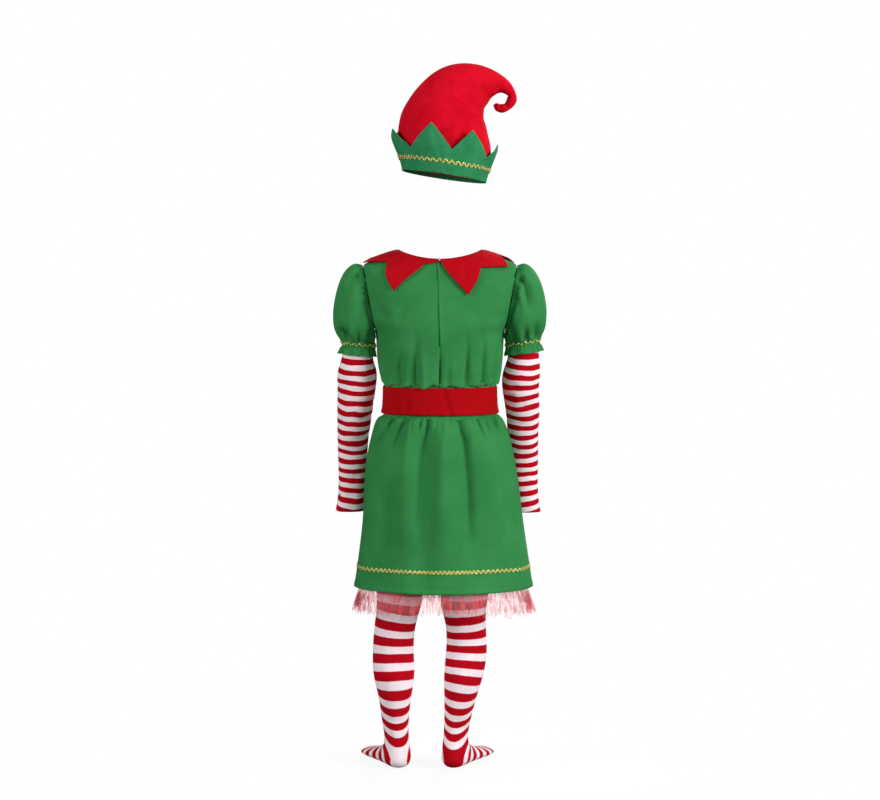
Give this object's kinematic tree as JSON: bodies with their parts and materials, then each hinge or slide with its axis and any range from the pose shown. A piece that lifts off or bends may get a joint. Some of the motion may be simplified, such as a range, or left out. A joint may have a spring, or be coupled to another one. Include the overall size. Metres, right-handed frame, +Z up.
{
  "type": "child's elf costume set with hat, puff-sleeved dress and striped tights",
  "caption": "Child's elf costume in its worn, hollow form: pointed felt hat, belted puff-sleeved dress with jagged collar and net petticoat, striped undersleeves and tights.",
  "frame": {"origin": "midway between the wearer's shoulders, at the height where the dress hangs on them", "axes": "+X to the wearer's right, +Y to the wearer's front, +Z up"},
  "size_m": [0.3975, 0.2856, 1.3215],
  "materials": {
    "dress_green": "smooth napped polyester with a soft sheen",
    "collar_red": "napped polyester",
    "belt_red": "napped polyester",
    "hat_felt_red": "matt felt",
    "hat_felt_green": "matt felt",
    "gold_braid": "metallic ric-rac",
    "striped_knit": "red and white striped jersey",
    "red_net": "stiff red net",
    "tights_knit": "red and white striped stretch knit"
  },
  "bodies": {
    "root": {"hat_crown_back": "hat_felt_red", "hat_crown_front": "hat_felt_red", "hat_band": "hat_felt_green", "hat_braid": "gold_braid", "bodice_back_right": "dress_green", "bodice_back_left": "dress_green", "bodice_front": "dress_green", "collar_right": "collar_red", "collar_left": "collar_red", "puff_sleeve_right": "dress_green", "puff_sleeve_left": "dress_green", "cuff_braid_right": "gold_braid", "cuff_braid_left": "gold_braid", "undersleeve_right": "striped_knit", "undersleeve_left": "striped_knit", "belt": "belt_red", "skirt_back": "dress_green", "skirt_front": "dress_green", "hem_braid": "gold_braid", "petticoat": "red_net", "tights_brief_right": "tights_knit", "tights_brief_left": "tights_knit", "tights_leg_right": "tights_knit", "tights_leg_left": "tights_knit"}
  },
  "joints": []
}
